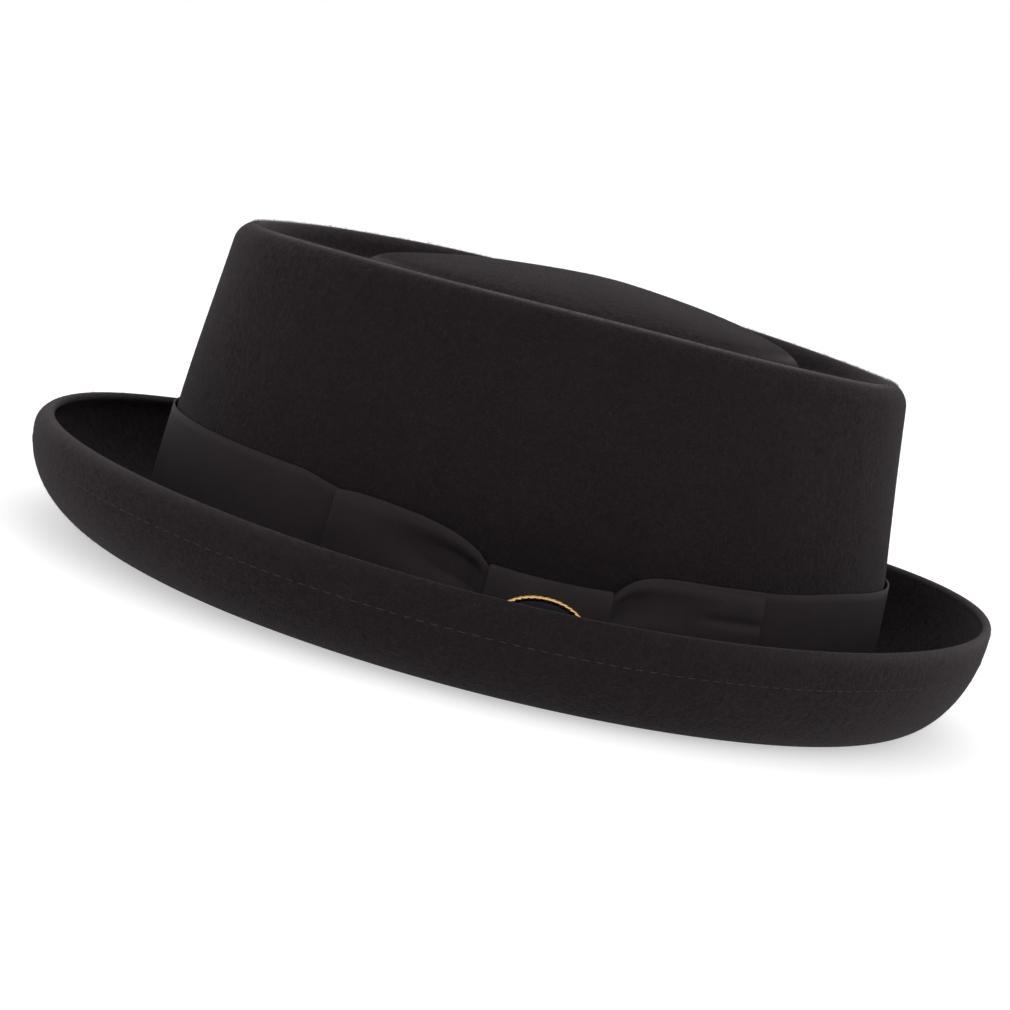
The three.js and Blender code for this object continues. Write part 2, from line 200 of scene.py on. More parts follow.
# Felt shell. Crown and brim are one hood of wool felt, 2.4 mm thick, steamed over a block:
# a groove and a pointed island are pressed into its tip and its brim is rolled up all round.
felt_wall = 0.0024
head_centre_y = 0.003
base_along, base_across = 0.1033, 0.0847
ridge_along, ridge_across = 0.0911, 0.0714
ridge_forward = 0.00135
ridge_bend = 0.0044
ridge_roll = 0.0032
crown_height = 0.0914
groove_level = 0.0764
groove_inset = 0.0122
island_height, island_drop = 0.1, 0.0088
island_front, island_back, island_side = 0.0645, 0.057, 0.041
island_backward = 0.0053
island_flank = 0.009
crease_bend = 0.004
break_height = 0.0032
knee_height, knee_inset = 0.038, 0.0019
rest_width = 0.004
brim_reach = (0.0355, 0.0395, 0.0295)
brim_sweep = (0.0284, 0.0164, 0.0196)
brim_rise = (0.025, 0.0244, 0.0313)
lip_curl = (np.radians(70.0), np.radians(22.0), np.radians(18.0))
lip_bend = 0.0038
arc_handle = 0.5523


def around(values, turn):
    """A front, a side and a back value blended round the hat: the side value counts by the
    sine squared of the turn, and the ends by the cosine squared plus or minus the cosine."""
    front, side, behind = values
    c = np.cos(turn)
    return side * (1 - c * c) + (front * (c * c + c) + behind * (c * c - c)) / 2


def oval(along, across, shift, height, turn):
    """Points on an oval: x is across times the sine of the turn, y is the head's centre plus
    a shift less along times its cosine, and z is the height."""
    x = across * np.sin(turn)
    y = head_centre_y + shift - along * np.cos(turn)
    return np.stack(np.broadcast_arrays(x, y, height), axis=-1)


def island_plan(grow, height, turn):
    """The island's outline: an oval whose width is also multiplied by the sine of the turn
    to the power 0.7, which pinches it to a point at the front and at the back."""
    along = np.where(np.cos(turn) > 0, island_front, island_back) + grow
    across = (island_side + grow) * np.abs(np.sin(turn)) ** 0.7
    return oval(along, across, island_backward, height, turn)


def brim_point(out, height, turn):
    """A point stepped out from the crown's foot, square to that oval, and set at a height."""
    away = np.stack([base_along * np.sin(turn), -base_across * np.cos(turn), 0 * turn], axis=-1)
    away /= np.linalg.norm(away, axis=-1, keepdims=True)
    foot = oval(base_along, base_across, 0, height, turn)
    return foot + away * np.broadcast_to(out, turn.shape)[:, None]


def wall_foot(turn):
    """The crown's lowest oval: its height changes by 1 mm times the cosine of the turn, so it
    is highest at the front and lowest at the back."""
    return oval(base_along, base_across, 0, break_height + 0.001 * np.cos(turn), turn)


def wall_knee(turn):
    """The oval where the crown's wall starts to lean in, an inset smaller than the lowest one
    and tilted as it is."""
    along, across = base_along - knee_inset, base_across - knee_inset
    return oval(along, across, 0, knee_height + 0.001 * np.cos(turn), turn)


def toward(start, end, distance):
    """The point on the line from start to end that lies a distance along it."""
    line = end - start
    return start + line * distance / np.linalg.norm(line, axis=-1, keepdims=True)


def felt_middle(turn):
    """The middle of the felt, as a grid of points from the crown's centre out to the lip, and
    the felt's direction at each. Each bend is a cubic curve whose handles reach 0.5523 of the
    way to its corner, which makes it nearly an arc, and straight felt joins the bends."""
    half = felt_wall / 2
    top = crown_height - half + 0.0024 * np.sin(turn) ** 2 + 0.0006 * np.cos(turn)
    pole = oval(0 * turn, 0 * turn, island_backward, island_height - half, turn)
    shoulder = island_plan(0, island_height - island_drop - half, turn)
    dome = pole + (shoulder - pole) * 0.55
    dome[:, 2] = pole[:, 2]
    shoulder_start = toward(shoulder, dome, crease_bend)
    island_foot = island_plan(island_flank, groove_level, turn)
    inner_along, inner_across = ridge_along - groove_inset, ridge_across - groove_inset
    ridge_foot = oval(inner_along, inner_across, -ridge_forward, groove_level, turn)
    ridge = oval(ridge_along, ridge_across, -ridge_forward, top, turn)
    roll = oval(ridge_along - ridge_roll, ridge_across - ridge_roll, -ridge_forward, top, turn)
    foot, knee = wall_foot(turn), wall_knee(turn)
    head = oval(ridge_along + ridge_bend, ridge_across + ridge_bend, -ridge_forward, top - ridge_bend, turn)
    climb = ((top - knee[:, 2]) / (head[:, 2] - knee[:, 2]))[:, None]
    ridge_corner = knee + (head - knee) * climb
    reach, rise, curl = around(brim_reach, turn), around(brim_rise, turn), around(lip_curl, turn)
    sweep = around(brim_sweep, turn)
    rest_start = brim_point(reach - sweep - rest_width, half, turn)
    rest_end = brim_point(reach - sweep, half, turn)
    heel = brim_point(reach, half, turn)
    widest = brim_point(reach, rise, turn)
    lip_corner = brim_point(reach, rise + lip_bend * np.tan(curl / 2), turn)
    lip = brim_point(reach - lip_bend * (1 - np.cos(curl)), rise + lip_bend * np.sin(curl), turn)

    def crease(before, corner, after, steps, straight):
        """A bend that starts and ends a crease's length to each side of a corner."""
        start, end = toward(corner, before, crease_bend), toward(corner, after, crease_bend)
        return start, corner, end, steps, straight

    bends = [
        (pole, dome, shoulder_start, 16, 0),
        (shoulder_start, shoulder, toward(shoulder, island_foot, crease_bend), 8, 0),
        crease(shoulder, island_foot, ridge_foot, 8, 2),
        crease(island_foot, ridge_foot, roll, 8, 1),
        (toward(roll, ridge_foot, ridge_roll), roll, ridge, 8, 2),
        (ridge, ridge_corner, head, 10, 0),
        (toward(knee, head, 0.004), knee, toward(knee, foot, 0.001), 4, 16),
        (toward(foot, knee, 0.0036), foot, toward(foot, rest_start, 0.0036), 8, 10),
        (rest_start, (rest_start + rest_end) / 2, rest_end, 3, 5),
        (rest_end, heel, widest, 26, 0),
        (widest, lip_corner, lip, 8, 0),
    ]
    points, directions = [], []
    for start, corner, end, steps, straight in bends:
        if straight:
            share = (np.arange(straight) + 1)[:, None, None] / (straight + 1)
            points.append(points[-1][-1] + (start - points[-1][-1]) * share)
            directions.append(np.broadcast_to(start - points[-1][0], (straight,) + start.shape))
        first = 1 if points and straight == 0 else 0
        s = np.arange(first, steps + 1)[:, None, None] / steps
        leave, arrive = start + (corner - start) * arc_handle, end + (corner - end) * arc_handle
        r = 1 - s
        points.append(start * r ** 3 + leave * 3 * s * r ** 2 + arrive * 3 * s ** 2 * r + end * s ** 3)
        directions.append((leave - start) * r ** 2 + (arrive - leave) * 2 * s * r + (end - arrive) * s ** 2)
    points, directions = np.concatenate(points), np.concatenate(directions)
    return points, directions / np.maximum(np.linalg.norm(directions, axis=-1, keepdims=True), 1e-9)


def show(name, points, corners, starts, finish):
    """A smooth mesh of a finish that rides on the hat, from points, the corners of its faces
    in turn, and the place in that list where each face starts."""
    mesh = bpy.data.meshes.new(name)
    mesh.vertices.add(len(points))
    mesh.vertices.foreach_set("co", points.astype(np.float32).ravel())
    mesh.loops.add(len(corners))
    mesh.loops.foreach_set("vertex_index", corners.astype(np.int32))
    mesh.polygons.add(len(starts))
    mesh.polygons.foreach_set("loop_start", starts.astype(np.int32))
    mesh.update(calc_edges=True)
    mesh.shade_smooth()
    mesh.materials.append(finish.material)
    piece = bpy.data.objects.new(name, mesh)
    bpy.context.scene.collection.objects.link(piece)
    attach(piece, "root")
    return piece


def grid_faces(rows, columns, wrap_rows=False, wrap_columns=False, caps=False):
    """The corners of a grid's faces, and where each face starts. Point (i, j) joins (i + 1, j)
    and (i, j + 1). A wrapped side joins back to its start, and caps are fans from the first
    and the last row to two more points, numbered after the grid's own."""
    number = np.arange(rows * columns).reshape(rows, columns)
    if wrap_rows:
        number = np.concatenate([number, number[:1]])
    if wrap_columns:
        number = np.concatenate([number, number[:, :1]], axis=1)
    quads = np.stack([number[:-1, :-1], number[1:, :-1], number[1:, 1:], number[:-1, 1:]], axis=-1)
    corners = quads.ravel()
    starts = np.arange(len(corners) // 4) * 4
    if caps:
        first, last = number[0], number[-1]
        hubs = np.full(len(first) - 1, rows * columns)
        fans = np.stack([hubs, first[:-1], first[1:]], axis=-1)
        fans = np.concatenate([fans, np.stack([hubs + 1, last[1:], last[:-1]], axis=-1)])
        starts = np.concatenate([starts, len(corners) + np.arange(len(fans)) * 3])
        corners = np.concatenate([corners, fans.ravel()])
    return corners, starts


def grid_points(grid, caps):
    """A grid's points as a list, with the mean of the first and of the last row for caps."""
    hubs = [grid[0].mean(0)[None], grid[-1].mean(0)[None]] if caps else []
    return np.concatenate([grid.reshape(-1, 3)] + hubs)


def make_piece(name, grid, finish, wrap_rows=False, wrap_columns=False, caps=False, weave=None):
    """A mesh from a grid of points. Weave gives each corner of the grid its place on the
    cloth, with the wrapped ends written out."""
    corners, starts = grid_faces(*grid.shape[:2], wrap_rows, wrap_columns, caps)
    piece = show(name, grid_points(grid, caps), corners, starts, finish)
    if weave is not None:
        places = np.stack([weave[:-1, :-1], weave[1:, :-1], weave[1:, 1:], weave[:-1, 1:]], axis=-2)
        layer = piece.data.uv_layers.new(name="weave")
        layer.data.foreach_set("uv", places.astype(np.float32).ravel())
    return piece


def make_many(name, grid, places, axes, finish, wrap_columns=False, caps=False):
    """One mesh of many copies of a small grid of points: each copy's points are its place
    plus the grid's three coordinates times its own three axes."""
    points = grid_points(grid, caps)
    corners, starts = grid_faces(*grid.shape[:2], False, wrap_columns, caps)
    copy = np.arange(len(places))[:, None]
    all_points = places[:, None, :] + np.einsum("pa,kab->kpb", points, axes)
    all_corners = (corners + copy * len(points)).ravel()
    all_starts = (starts + copy * len(corners)).ravel()
    return show(name, all_points.reshape(-1, 3), all_corners, all_starts, finish)


felt = Finish("felt", Roughness=0.95)
felt.feed(felt.shader, "Specular IOR Level", 0.02)
felt.feed(felt.shader, "Sheen Weight", 0.1)
felt.feed(felt.shader, "Sheen Roughness", 0.3)
felt.feed(felt.shader, "Sheen Tint", (1.0, 0.92, 0.95))
hat_place = felt.place()
cloudy = felt.noise(hat_place, 70.0, detail=4.0, roughness=0.6)
mottle = felt.noise(hat_place, 420.0, detail=4.0, roughness=0.65)
strands = felt.noise(hat_place, 520.0, detail=3.0, roughness=0.6, distortion=1.6)
strands = (1.0 - abs(strands * 2.0 - 1.0)) ** 9.0
fine_strands = felt.noise(hat_place, 1300.0, detail=2.0, roughness=0.5, distortion=1.2)
fine_strands = (1.0 - abs(fine_strands * 2.0 - 1.0)) ** 6.0
tone = cloudy * 0.45 + mottle * 0.55
wool = felt.mix(tone, (0.0085, 0.0067, 0.0071), (0.0170, 0.0132, 0.0140))
wool = felt.mix(strands * 0.16, wool, (0.05, 0.041, 0.044))
# Painted highlight: a pale grey is mixed into the felt's colour along the crown's ridge, the front and back
# of the brim's lip and the island's two tips, in place of the light these edges catch.
highlight_share = felt.node("ShaderNodeAttribute", {"attribute_name": "painted_highlight"}, {}, output="Fac")
wool = felt.mix(highlight_share * (mottle * 0.6 + 0.7), wool, (0.1, 0.085, 0.09))
felt.feed(felt.shader, "Base Color", wool)
felt.bump(mottle * 0.5 + strands * 0.35 + fine_strands * 0.25, 0.00022)

turns = np.linspace(0, 2 * np.pi, 320, endpoint=False)
middle, direction = felt_middle(turns)
round_the_hat = np.roll(middle, -1, axis=1) - np.roll(middle, 1, axis=1)
outward = np.cross(direction, round_the_hat)
outward /= np.maximum(np.linalg.norm(outward, axis=-1, keepdims=True), 1e-12)
outward[0] = (0.0, 0.0, 1.0)
run = np.cumsum(np.linalg.norm(np.diff(middle, axis=0, prepend=middle[:1]), axis=-1), axis=0)
uneven_share = np.clip(middle[..., 2] / 0.02 - 0.3, 0, 1) * np.clip(run / 0.03, 0, 1)
slow_wave = np.sin(3 * turns + run * 55)
quick_waves = 0.7 * np.sin(5 * turns - run * 80 + 1.0) + 0.4 * np.sin(9 * turns + run * 130)
middle = middle + outward * (0.00012 * (slow_wave + quick_waves) * uneven_share)[..., None]
outer = middle + outward * felt_wall / 2
inner = middle - outward * felt_wall / 2
lip_turns = np.linspace(0, np.pi, 9)[1:-1, None, None]
lip_edge = middle[-1] + (outward[-1] * np.cos(lip_turns) + direction[-1] * np.sin(lip_turns)) * felt_wall / 2
felt_grid = np.concatenate([outer[1:], lip_edge, inner[:0:-1]])
felt_shell = make_piece("felt_shell", felt_grid, felt, wrap_columns=True, caps=True)

# The mask of the painted highlight, kept on the shell's points: a narrow band along the ridge's crest, the
# lip at front and back, and the island's front and back tips.
crest_row, shoulder_row = 56, 20
crest_run, shoulder_run = run[crest_row], run[shoulder_row]
crest_highlight = np.exp(-((run - crest_run - 0.0004) / 0.0011) ** 2)
lip_highlight = 0.4 * np.cos(turns) ** 2 * np.exp((run - run[-1]) / 0.0015)
tip_highlight = 0.7 * np.exp(-((run - shoulder_run) / 0.0014) ** 2) * np.cos(turns) ** 6
painted_highlight = np.maximum(np.maximum(crest_highlight, lip_highlight), tip_highlight)
highlight_grid = np.concatenate([painted_highlight[1:], np.tile(lip_highlight[-1], (len(lip_edge), 1)), lip_highlight[:0:-1]])
highlight_layer = felt_shell.data.attributes.new("painted_highlight", "FLOAT", "POINT")
highlight_layer.data.foreach_set("value", np.concatenate([highlight_grid.ravel(), [0.0, 0.0]]).astype(np.float32))
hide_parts("felt_body")


# Nap. Short loose fibres of wool that stand out of the felt and lie every way. They are
# thickest and most upright along the ridge of the crown and on the brim's lip, where the
# felt's colour also carries a painted highlight.
nap_fibres = 90000
nap_length, nap_width = 0.0014, 0.00005
nap = Finish("nap", Base_Color=(0.040, 0.0325, 0.0345), Roughness=0.8)
nap.feed(nap.shader, "Specular IOR Level", 0.05)
chance = np.random.default_rng(7)
patch = np.linalg.norm(round_the_hat, axis=-1) / 2 * np.linalg.norm(np.gradient(middle, axis=0), axis=-1)
brim_start = np.flatnonzero(middle[:, 0, 2] < break_height)[0]
under_brim = (np.arange(len(middle)) >= brim_start)[:, None]
felt_sides = np.stack([outer, inner])
side_outward = np.stack([outward, -outward])
spread = np.stack([patch * (1 + 14 * painted_highlight), patch * under_brim * (1 + 5 * lip_highlight)])
spread *= (np.arange(len(middle)) > 0)[:, None] & (felt_sides[..., 2] > 0.0018)
picked = chance.choice(spread.size, nap_fibres, p=spread.ravel() / spread.sum())
pick_side, pick_i, pick_j = np.unravel_index(picked, spread.shape)
next_i = np.minimum(pick_i + 1, len(middle) - 1)
next_j = (pick_j + 1) % len(turns)
part_i, part_j = chance.random((2, nap_fibres, 1))
fibre_cell = felt_sides[pick_side, pick_i, pick_j]
roots = fibre_cell + (felt_sides[pick_side, next_i, pick_j] - fibre_cell) * part_i
roots = roots + (felt_sides[pick_side, pick_i, next_j] - fibre_cell) * part_j
out_of_felt = side_outward[pick_side, pick_i, pick_j]
fibre_lean = chance.normal(size=(nap_fibres, 3))
fibre_lean -= out_of_felt * np.sum(fibre_lean * out_of_felt, axis=-1, keepdims=True)
fibre_lean /= np.linalg.norm(fibre_lean, axis=-1, keepdims=True)
fibre_side = np.cross(fibre_lean, out_of_felt)
fibre_size = chance.uniform(0.4, 1.0, (nap_fibres, 1))
rise_of_tip = chance.uniform(0.1, 0.5, (nap_fibres, 1)) + 0.35 * painted_highlight[pick_i, pick_j][:, None]
fibre_axes = np.stack([
    fibre_lean * nap_length * fibre_size,
    out_of_felt * nap_length * fibre_size * rise_of_tip,
    fibre_side * nap_width,
], axis=1)
fibre_run = np.array([0.0, 0.5, 1.0])
fibre_shape = np.stack([
    np.stack([fibre_run, np.array([-0.1, 0.6, 1.0]), side * np.array([1.0, 0.8, 0.25])], axis=-1)
    for side in (-0.5, 0.5)
], axis=1)
for name, chosen in {"felt_nap_a": slice(0, None, 2), "felt_nap_b": slice(1, None, 2)}.items():
    fibres = make_many(name, fibre_shape, roots[chosen], fibre_axes[chosen], nap)


# Brim stitches. One row of dark thread that runs round the outside of the turned-up brim,
# 8.5 mm below its lip, and is drawn a little into the felt.
stitch_from_lip, stitch_pitch, stitch_length, stitch_radius = 0.0085, 0.0034, 0.0022, 0.00014
thread = Finish("thread", Base_Color=(0.034, 0.029, 0.031), Roughness=0.7)
thread.feed(thread.shader, "Specular IOR Level", 0.1)
seam_column = np.arange(len(turns))
seam_row = np.sum(run < run[-1] - stitch_from_lip, axis=0) - 1
run_before, run_after = run[seam_row, seam_column], run[seam_row + 1, seam_column]
seam_share = (run[-1] - stitch_from_lip - run_before) / (run_after - run_before)
felt_before, felt_after = inner[seam_row, seam_column], inner[seam_row + 1, seam_column]
seam = felt_before + (felt_after - felt_before) * seam_share[:, None]
seam_outward = -outward[seam_row, seam_column]
seam = np.concatenate([seam, seam[:1]])
seam_outward = np.concatenate([seam_outward, seam_outward[:1]])
seam_run = np.concatenate([[0.0], np.cumsum(np.linalg.norm(np.diff(seam, axis=0), axis=-1))])
stitches = int(seam_run[-1] / stitch_pitch)
stitch_at = (np.arange(stitches) + 0.5) * seam_run[-1] / stitches
stitch_place = np.stack([np.interp(stitch_at, seam_run, seam[:, k]) for k in range(3)], axis=-1)
stitch_ahead = np.stack([np.interp(stitch_at + 0.001, seam_run, seam[:, k]) for k in range(3)], axis=-1)
stitch_out = np.stack([np.interp(stitch_at, seam_run, seam_outward[:, k]) for k in range(3)], axis=-1)
stitch_along = stitch_ahead - stitch_place
stitch_along /= np.linalg.norm(stitch_along, axis=-1, keepdims=True)
stitch_axes = np.stack([stitch_along, stitch_out, np.cross(stitch_along, stitch_out)], axis=1)
stitch_run = np.linspace(-1, 1, 9)[:, None]
stitch_round = np.linspace(2 * np.pi, 0, 8, endpoint=False)[None, :]
stitch_thick = stitch_radius * (1 - 0.8 * stitch_run ** 4) ** 0.5
stitch_shape = np.stack([
    stitch_run * stitch_length / 2 + 0 * stitch_round,
    stitch_thick * np.cos(stitch_round) + stitch_radius * (0.5 - 1.2 * stitch_run ** 2),
    stitch_thick * np.sin(stitch_round),
], axis=-1)
brim_stitches = make_many("brim_stitches", stitch_shape, stitch_place, stitch_axes, thread,
                          wrap_columns=True, caps=True)


# Hat band. A ribbed ribbon 31 mm wide that lies round the foot of the crown, sewn at its
# lower edge. Behind the bow it is gathered down, so that nothing shows above the bow.
ribbon_width, ribbon_thick = 0.031, 0.0006
band_foot, band_top = 0.006, 0.037
band_stand = 0.0013
rib_pitch = 0.00062
bow_turn, bow_half, knot_half = 90.0, 33.0, np.degrees(np.arcsin(0.0155 / base_along))
knot_middle, neck_half = 0.0173, 0.0085
loop_rise_along = np.array([0.0, 0.03, 0.1, 0.2, 0.32, 0.45, 0.6, 0.75, 0.9, 1.0])
loop_rise_front = np.array([0.0, 0.24, 0.42, 0.6, 0.73, 0.81, 0.86, 0.89, 0.88, 0.83])
loop_rise_back = np.array([0.0, 0.2, 0.5, 0.68, 0.75, 0.78, 0.79, 0.81, 0.83, 0.83])


def ease(value, start, end):
    """Rises smoothly from 0 at start to 1 at end: three times the share squared, less two
    times the share cubed."""
    share = np.clip((value - start) / (end - start), 0, 1)
    return share * share * (3 - 2 * share)


def off_wall(turn, height, stand):
    """A point off the crown's lower wall: on the line from its foot to its knee at a height,
    moved out square to the wall by half the felt and the stand-off."""
    turn, height, stand = np.broadcast_arrays(turn, height, stand)
    foot, knee = wall_foot(turn), wall_knee(turn)
    rise = knee - foot
    round_it = np.stack([base_across * np.cos(turn), base_along * np.sin(turn), 0 * turn], axis=-1)
    out = np.cross(round_it, rise)
    out /= np.linalg.norm(out, axis=-1, keepdims=True)
    share = (height - foot[..., 2]) / rise[..., 2]
    return foot + rise * share[..., None] + out * (felt_wall / 2 + stand)[..., None]


def bow_edges(degrees):
    """The lower and upper edge of the bow at an angle round the crown, and how far out along
    its loop that is, from 0 at the knot to 1 at the loop's end. The upper edge follows a
    table, averaged over a tenth of the loop to round it off."""
    along = np.clip((np.abs(degrees - bow_turn) - knot_half) / (bow_half - knot_half), 0, 1)
    window = np.linspace(-0.05, 0.05, 11)[:, None]
    front = np.interp(along + window, loop_rise_along, loop_rise_front).mean(0)
    behind = np.interp(along + window, loop_rise_along, loop_rise_back).mean(0)
    rise = np.where(degrees < bow_turn, front, behind)
    fall = ease(along, 0, 0.5)
    tilt = 0.001 * np.cos(np.radians(degrees))
    lower = tilt + (knot_middle - neck_half) * (1 - fall) + (band_foot + 0.0003) * fall
    upper = tilt + (knot_middle + neck_half) * (1 - rise) + band_top * rise
    return along, lower, upper


def ribbon_body(face, thickness):
    """Gives a loop of ribbon's middle surface a thickness: half of it to each side along the cross
    product of the steps across and along, with a thin round edge. Rows run across it. Also
    returns each corner's place on the flat ribbon, in metres along and across."""
    across = np.gradient(face, axis=0)
    along = np.roll(face, -1, axis=1) - np.roll(face, 1, axis=1)
    normal = np.cross(across, along)
    normal /= np.linalg.norm(normal, axis=-1, keepdims=True)
    edge = across / np.linalg.norm(across, axis=-1, keepdims=True) * thickness * 0.35
    half = normal * thickness / 2
    body = np.concatenate([
        (face[0] - edge[0])[None], face + half, (face[-1] + edge[-1])[None], (face - half)[::-1],
    ])
    face = np.concatenate([face, face[:, :1]], axis=1)
    length = np.cumsum(np.linalg.norm(np.diff(face, axis=1, prepend=face[:, :1]), axis=-1), axis=1).mean(0)
    width = np.linspace(0, ribbon_width, len(face))
    across_place = np.concatenate([[0.0], width, [ribbon_width], width[::-1], [0.0]])
    place = np.stack(np.broadcast_arrays(length[None, :], across_place[:, None]), axis=-1)
    return body, place


ribbon = Finish("ribbon", Roughness=0.62)
ribbon.feed(ribbon.shader, "Specular IOR Level", 0.06)
cloth_place = ribbon.weave_place()
across_ribbon = ribbon.node("ShaderNodeSeparateXYZ", {}, {"Vector": cloth_place}, output=1)
along_ribbon = ribbon.node("ShaderNodeSeparateXYZ", {}, {"Vector": cloth_place}, output=0)
ribs = along_ribbon.wave(rib_pitch)
threads = across_ribbon.wave(0.00035)
worn = ribbon.noise(ribbon.place(), 160.0, detail=3.0, roughness=0.6)
speck = ribbon.noise(ribbon.place(), 1500.0, detail=2.0)
silk = ribbon.mix(ribs * 0.4 + worn * 0.6, (0.0170, 0.0134, 0.0144), (0.0300, 0.0238, 0.0252))
ribbon.feed(ribbon.shader, "Base Color", silk)
ribbon.bump(ribs * 0.8 + threads * 0.1 + speck * 0.2, 0.00005)

band_degrees = np.linspace(0, 360, 480, endpoint=False)
gathered = bow_edges(band_degrees)[2] - 0.0002
full = band_top + 0.001 * np.cos(np.radians(band_degrees))
reach_of_ease = np.where(band_degrees < bow_turn, 8.0, 22.0)
from_bow = np.abs(band_degrees - bow_turn)
flat_share = ease(from_bow, bow_half - 1.5, bow_half + reach_of_ease)
band_upper = gathered + (full - gathered) * flat_share
band_lower = band_foot + 0.001 * np.cos(np.radians(band_degrees))
band_down = np.linspace(0, 1, 15)[:, None]
band_turns = np.radians(band_degrees)
band_looseness = 0.00012 * np.sin(band_turns * 7 + 1) + 0.00008 * np.sin(band_turns * 17)
band_face = off_wall(
    np.radians(band_degrees)[None, :],
    band_upper + (band_lower - band_upper) * band_down,
    band_stand - ribbon_thick / 2 + band_looseness * np.sin(np.pi * band_down),
)
band_body, band_weave = ribbon_body(band_face, ribbon_thick)
ribbon_band = make_piece("ribbon_band", band_body, ribbon, wrap_rows=True, wrap_columns=True,
                         weave=band_weave)
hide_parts("hat_band")


# Bow loops. One more length of the same ribbon, joined end to end, pressed flat against the
# band and squeezed at its middle, where folds run out from the knot into both loops.
loop_back_stand, loop_proud = 0.0016, 0.0026
neck_back_stand, neck_front_stand = 0.0029, 0.0041
fold_across = np.array([0.0, 0.14, 0.32, 0.5, 0.68, 0.82, 0.93, 1.0])
fold_neck = np.array([0.3, 0.95, 0.45, 1.0, 0.3, 0.35, 1.0, 0.5])
fold_end = np.array([0.6, 0.85, 0.95, 0.9, 1.0, 0.9, 0.8, 0.45])

bend_degrees = 0.7
out_to_end = np.linspace(-(bow_half - bend_degrees), bow_half - bend_degrees, 150)
half_bend = np.linspace(0, np.pi, 10)[1:-1]
loop_degrees = bow_turn + np.concatenate([
    out_to_end,
    bow_half - bend_degrees + bend_degrees * np.sin(half_bend),
    out_to_end[::-1],
    -(bow_half - bend_degrees) - bend_degrees * np.sin(half_bend),
])
front_share = np.concatenate([
    np.ones(150), (1 + np.cos(half_bend)) / 2, np.zeros(150), (1 - np.cos(half_bend)) / 2,
])
loop_along, loop_lower, loop_upper = bow_edges(loop_degrees)
loop_up = np.linspace(1, 0, 45)[:, None]
smoothing = np.linspace(-0.05, 0.05, 9)[:, None, None]
neck_folds = np.interp(loop_up + smoothing, fold_across, fold_neck).mean(0)
end_folds = np.interp(loop_up + smoothing, fold_across, fold_end).mean(0)
proud = neck_folds * (1 - loop_along) ** 1.5 + end_folds * (1 - (1 - loop_along) ** 1.5)
front_loop = loop_degrees < bow_turn
valley = np.exp(-((loop_up - 0.66 - 0.1 * loop_along) / 0.17) ** 2) * ease(loop_along, 0.8, 0.15)
tuck = np.exp(-((loop_up - 0.1) / 0.2) ** 2) * ease(loop_along, 0.55, 1.0)
crease = np.exp(-((loop_up - 0.7) / 0.05) ** 2) * ease(loop_along, 0.45, 0.75)
low_crease = np.exp(-((loop_up - 0.36 - 0.1 * loop_along) / 0.07) ** 2) * ease(loop_along, 0.7, 0.2)
proud = proud - np.where(front_loop, 0.68 * valley + 0.5 * tuck, 0.25 * crease + 0.45 * low_crease)
proud = np.clip(proud - np.where(front_loop, 0.0, 0.35 * loop_up ** 2), 0.26, 1.05)
opened = ease(loop_along, 0, 0.08)
back_stand = neck_back_stand + (loop_back_stand - neck_back_stand) * opened + ribbon_thick / 2
face_stand = loop_back_stand + loop_proud * proud
front_stand = neck_front_stand * (1 - opened) + face_stand * opened - ribbon_thick / 2
loop_face = off_wall(
    np.radians(loop_degrees)[None, :],
    loop_lower + (loop_upper - loop_lower) * loop_up,
    back_stand + (front_stand - back_stand) * front_share,
)
loop_body, loop_weave = ribbon_body(loop_face, ribbon_thick)
ribbon_loops = make_piece("ribbon_loops", loop_body, ribbon, wrap_rows=True, wrap_columns=True,
                          weave=loop_weave)
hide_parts("bow_loops")


# Knot. A short piece of the ribbon that runs right round the squeezed middle of the loops,
# so its ribs lie level. It is sewn behind and a little creased across.
knot_half_height, knot_square, knot_bulge = 0.011, 0.6, 0.001
knot_back_stand, knot_front_stand = 0.0016, 0.0054
knot_round = np.linspace(0, 2 * np.pi, 96, endpoint=False)[None, :]
knot_degrees = bow_turn + knot_half * np.linspace(-1, 1, 41)[:, None]
square_cos = np.sign(np.cos(knot_round)) * np.abs(np.cos(knot_round)) ** knot_square
square_sin = np.sign(np.sin(knot_round)) * np.abs(np.sin(knot_round)) ** knot_square
knot_out = knot_front_stand + knot_bulge * (1 - square_sin ** 2) - ribbon_thick / 2
knot_in = knot_back_stand + ribbon_thick / 2
wide = (knot_degrees - bow_turn) / knot_half
pucker = 0.00022 * np.cos(9 * wide + 0.8 * square_sin) + 0.0003 * wide ** 6
pucker = pucker * np.clip(square_cos, 0, 1)
knot_stand = (knot_out + knot_in) / 2 + square_cos * (knot_out - knot_in) / 2 - pucker
sag = 0.0005 * (1 - wide ** 2) * np.clip(square_sin, 0, 1)
knot_height = knot_middle + square_sin * (knot_half_height - ribbon_thick / 2) - sag
knot_face = off_wall(np.radians(knot_degrees), knot_height, knot_stand)
knot_body, knot_weave = ribbon_body(knot_face, ribbon_thick)
ribbon_knot = make_piece("ribbon_knot", knot_body, ribbon, wrap_rows=True, wrap_columns=True,
                         weave=knot_weave)
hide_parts("bow_knot")


# Badge. A small oval of gilt brass with a beaded rim, pinned flat on the knot, and a bare
# dome of black enamel in it.
badge_half_length, badge_half_height, badge_rim = 0.0123, 0.0081, 0.0011
badge_plate, badge_stand, badge_drop, badge_forward = 0.001, 0.0067, 0.0015, 0.0007
beads, bead_steps = 44, 12
badge_turn = np.radians(bow_turn)
badge_seat = off_wall(badge_turn, knot_middle - badge_drop, badge_stand) - np.array([0.0, badge_forward, 0.0])
badge_outward = off_wall(badge_turn, knot_middle, badge_stand) - off_wall(badge_turn, knot_middle, 0.0)
badge_outward /= np.linalg.norm(badge_outward)
badge_long = np.array([0.0, 1.0, 0.0])
badge_axes = np.stack([badge_long, np.cross(badge_outward, badge_long), badge_outward])


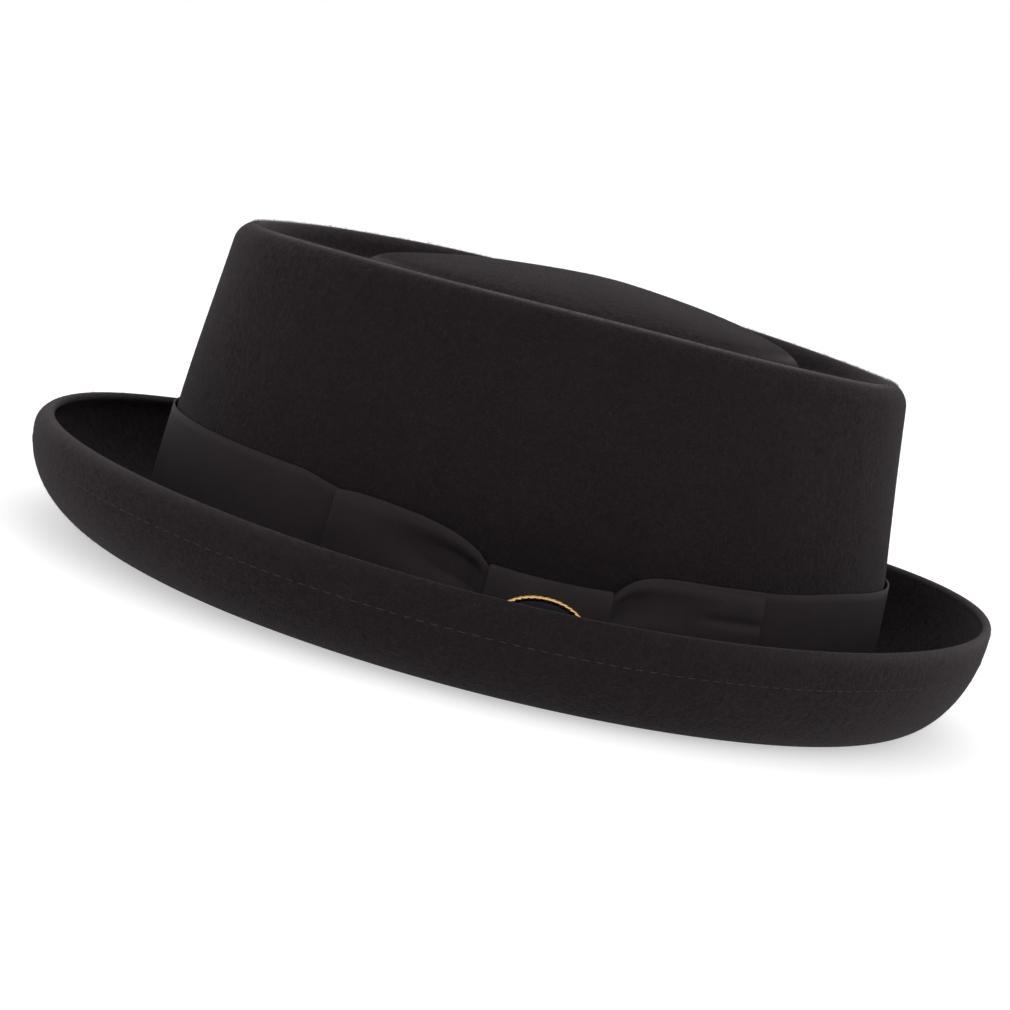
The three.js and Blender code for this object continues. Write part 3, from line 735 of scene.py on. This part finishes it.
def on_badge(inset, height, angle):
    """A point of the badge: on the oval that lies an inset inside its edge, at an angle and
    at a height off its back."""
    x = (badge_half_length - inset) * np.cos(angle)
    y = (badge_half_height - inset) * np.sin(angle)
    return badge_seat + np.stack(np.broadcast_arrays(x, y, height), axis=-1) @ badge_axes


gilt = Finish("gilt_brass", Metallic=1.0)
tarnish = gilt.noise(gilt.place(), 900.0, detail=3.0, roughness=0.6)
gilt.feed(gilt.shader, "Base Color", gilt.mix(tarnish, (0.88, 0.60, 0.27), (0.60, 0.36, 0.13)))
gilt.feed(gilt.shader, "Roughness", tarnish * 0.25 + 0.16)
gilt.bump(tarnish, 0.00002)

oval_turn = np.linspace(2 * np.pi, 0, 144, endpoint=False)[None, :]
frame_inset = np.array([0.9, 0.25, 0.0, 0.0, 0.12, 0.25, 0.9, 1.0, 1.1, 1.2, 2.1])[:, None] / 1000
frame_height = np.array([-0.25, -0.25, 0.0, 1.1, 1.3, 1.35, 1.35, 1.3, 1.15, 1.0, 1.0])[:, None] / 1000
badge_setting = make_piece("badge_setting", on_badge(frame_inset, frame_height, oval_turn), gilt,
                           wrap_columns=True, caps=True)

bead_turn = np.linspace(0, 2 * np.pi, beads * bead_steps, endpoint=False)[None, :]
bead_round = np.linspace(0, 2 * np.pi, 14, endpoint=False)[:, None]
bead_place = (np.arange(beads * bead_steps) % bead_steps / bead_steps * 2 - 1)[None, :]
bead_radius = 0.0005 * np.sqrt(1 - 0.82 * bead_place ** 2)
bead_inset = badge_rim / 2 + bead_radius * np.cos(bead_round)
bead_height = 0.00145 + bead_radius * np.sin(bead_round)
badge_beads = make_piece("badge_beads", on_badge(bead_inset, bead_height, bead_turn), gilt,
                         wrap_rows=True, wrap_columns=True)
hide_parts("badge_frame")

enamel = Finish("enamel", Roughness=0.3)
enamel.feed(enamel.shader, "Specular IOR Level", 0.14)
cloudiness = enamel.noise(enamel.place(), 300.0, detail=2.0)
glaze = enamel.mix(cloudiness, (0.006, 0.0065, 0.0085), (0.011, 0.0115, 0.0145))
enamel.feed(enamel.shader, "Base Color", glaze)
dome_out = np.linspace(1, 0.04, 14)[:, None]
dome_height = badge_plate + 0.0002 + 0.0006 * (1 - dome_out ** 2)
dome_x = (badge_half_length - badge_rim - 0.0001) * dome_out * np.cos(oval_turn)
dome_y = (badge_half_height - badge_rim - 0.0001) * dome_out * np.sin(oval_turn)
dome_grid = np.stack(np.broadcast_arrays(dome_x, dome_y, dome_height), axis=-1)
dome_floor = dome_grid[:1] * np.array([1.0, 1.0, 0.0]) + np.array([0.0, 0.0, badge_plate - 0.0001])
dome_grid = badge_seat + np.concatenate([dome_floor, dome_grid]) @ badge_axes
badge_enamel = make_piece("badge_enamel", dome_grid, enamel, wrap_columns=True, caps=True)
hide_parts("badge_face")
